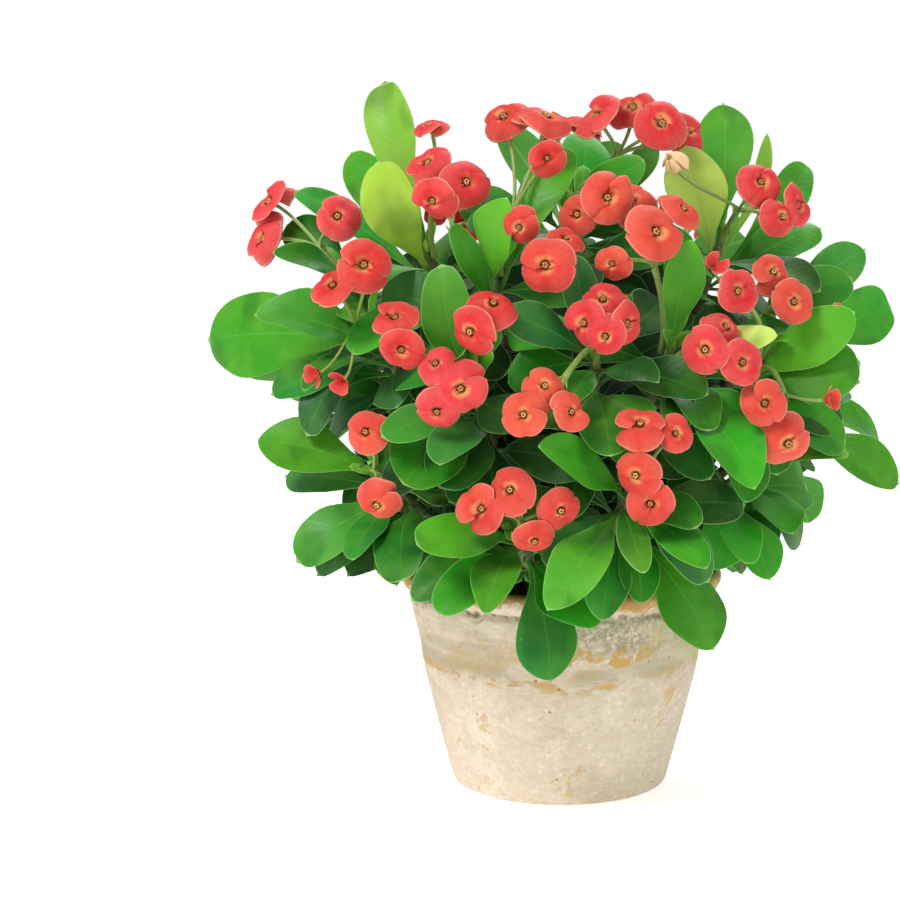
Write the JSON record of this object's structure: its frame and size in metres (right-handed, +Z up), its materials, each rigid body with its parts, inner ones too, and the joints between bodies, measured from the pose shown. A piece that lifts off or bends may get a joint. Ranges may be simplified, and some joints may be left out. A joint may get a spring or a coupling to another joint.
{
  "type": "potted euphorbia",
  "caption": "Bushy crown-of-thorns euphorbia with spoon-shaped leaves and forked sprays of red flowers, growing from soil in a flared round clay pot with a collar.",
  "frame": {"origin": "middle of the pot's flat underside, on the surface it stands on", "axes": "+Z up out of the pot, -Y towards the plant's front, +X to the right seen from the front"},
  "size_m": [0.43, 0.4074, 0.431],
  "materials": {
    "clay": "matte",
    "potting_soil": "matte",
    "bark": "matte",
    "leaf": "satin",
    "bract": "satin"
  },
  "bodies": {
    "root": {"flower_spray_01": "bract", "flower_spray_02": "bract", "flower_spray_03": "bract", "flower_spray_04": "bract", "flower_spray_05": "bract", "flower_spray_06": "bract", "flower_spray_07": "bract", "flower_spray_08": "bract", "flower_spray_09": "bract", "flower_spray_10": "bract", "flower_spray_11": "bract", "flower_spray_12": "bract", "flower_spray_13": "bract", "flower_spray_14": "bract", "flower_spray_15": "bract", "flower_spray_16": "bract", "flower_spray_17": "bract", "flower_spray_18": "bract", "flower_spray_19": "bract", "flower_spray_20": "bract", "flower_spray_21": "bract", "flower_spray_22": "bract", "flower_spray_23": "bract", "flower_spray_24": "bract", "flower_spray_25": "bract", "flower_spray_26": "bract", "flower_spray_27": "bract", "leafy_shoot_01": "leaf", "leafy_shoot_02": "leaf", "leafy_shoot_03": "leaf", "leafy_shoot_04": "leaf", "leafy_shoot_05": "leaf", "leafy_shoot_06": "leaf", "leafy_shoot_07": "leaf", "leafy_shoot_08": "leaf", "leafy_shoot_09": "leaf", "leafy_shoot_10": "leaf", "leafy_shoot_11": "leaf", "leafy_shoot_12": "leaf", "leafy_shoot_13": "leaf", "leafy_shoot_14": "leaf", "leafy_shoot_15": "leaf", "leafy_shoot_16": "leaf", "leafy_shoot_17": "leaf", "leafy_shoot_18": "leaf", "leafy_shoot_19": "leaf", "leafy_shoot_20": "leaf", "leafy_shoot_21": "leaf", "leafy_shoot_22": "leaf", "leafy_shoot_23": "leaf", "leafy_shoot_24": "leaf", "leafy_shoot_25": "leaf", "pot": "clay", "soil": "potting_soil", "woody_stem_1": "bark", "woody_stem_2": "bark", "woody_stem_3": "bark", "woody_stem_4": "bark", "woody_stem_5": "bark", "woody_stem_6": "bark"}
  },
  "joints": []
}
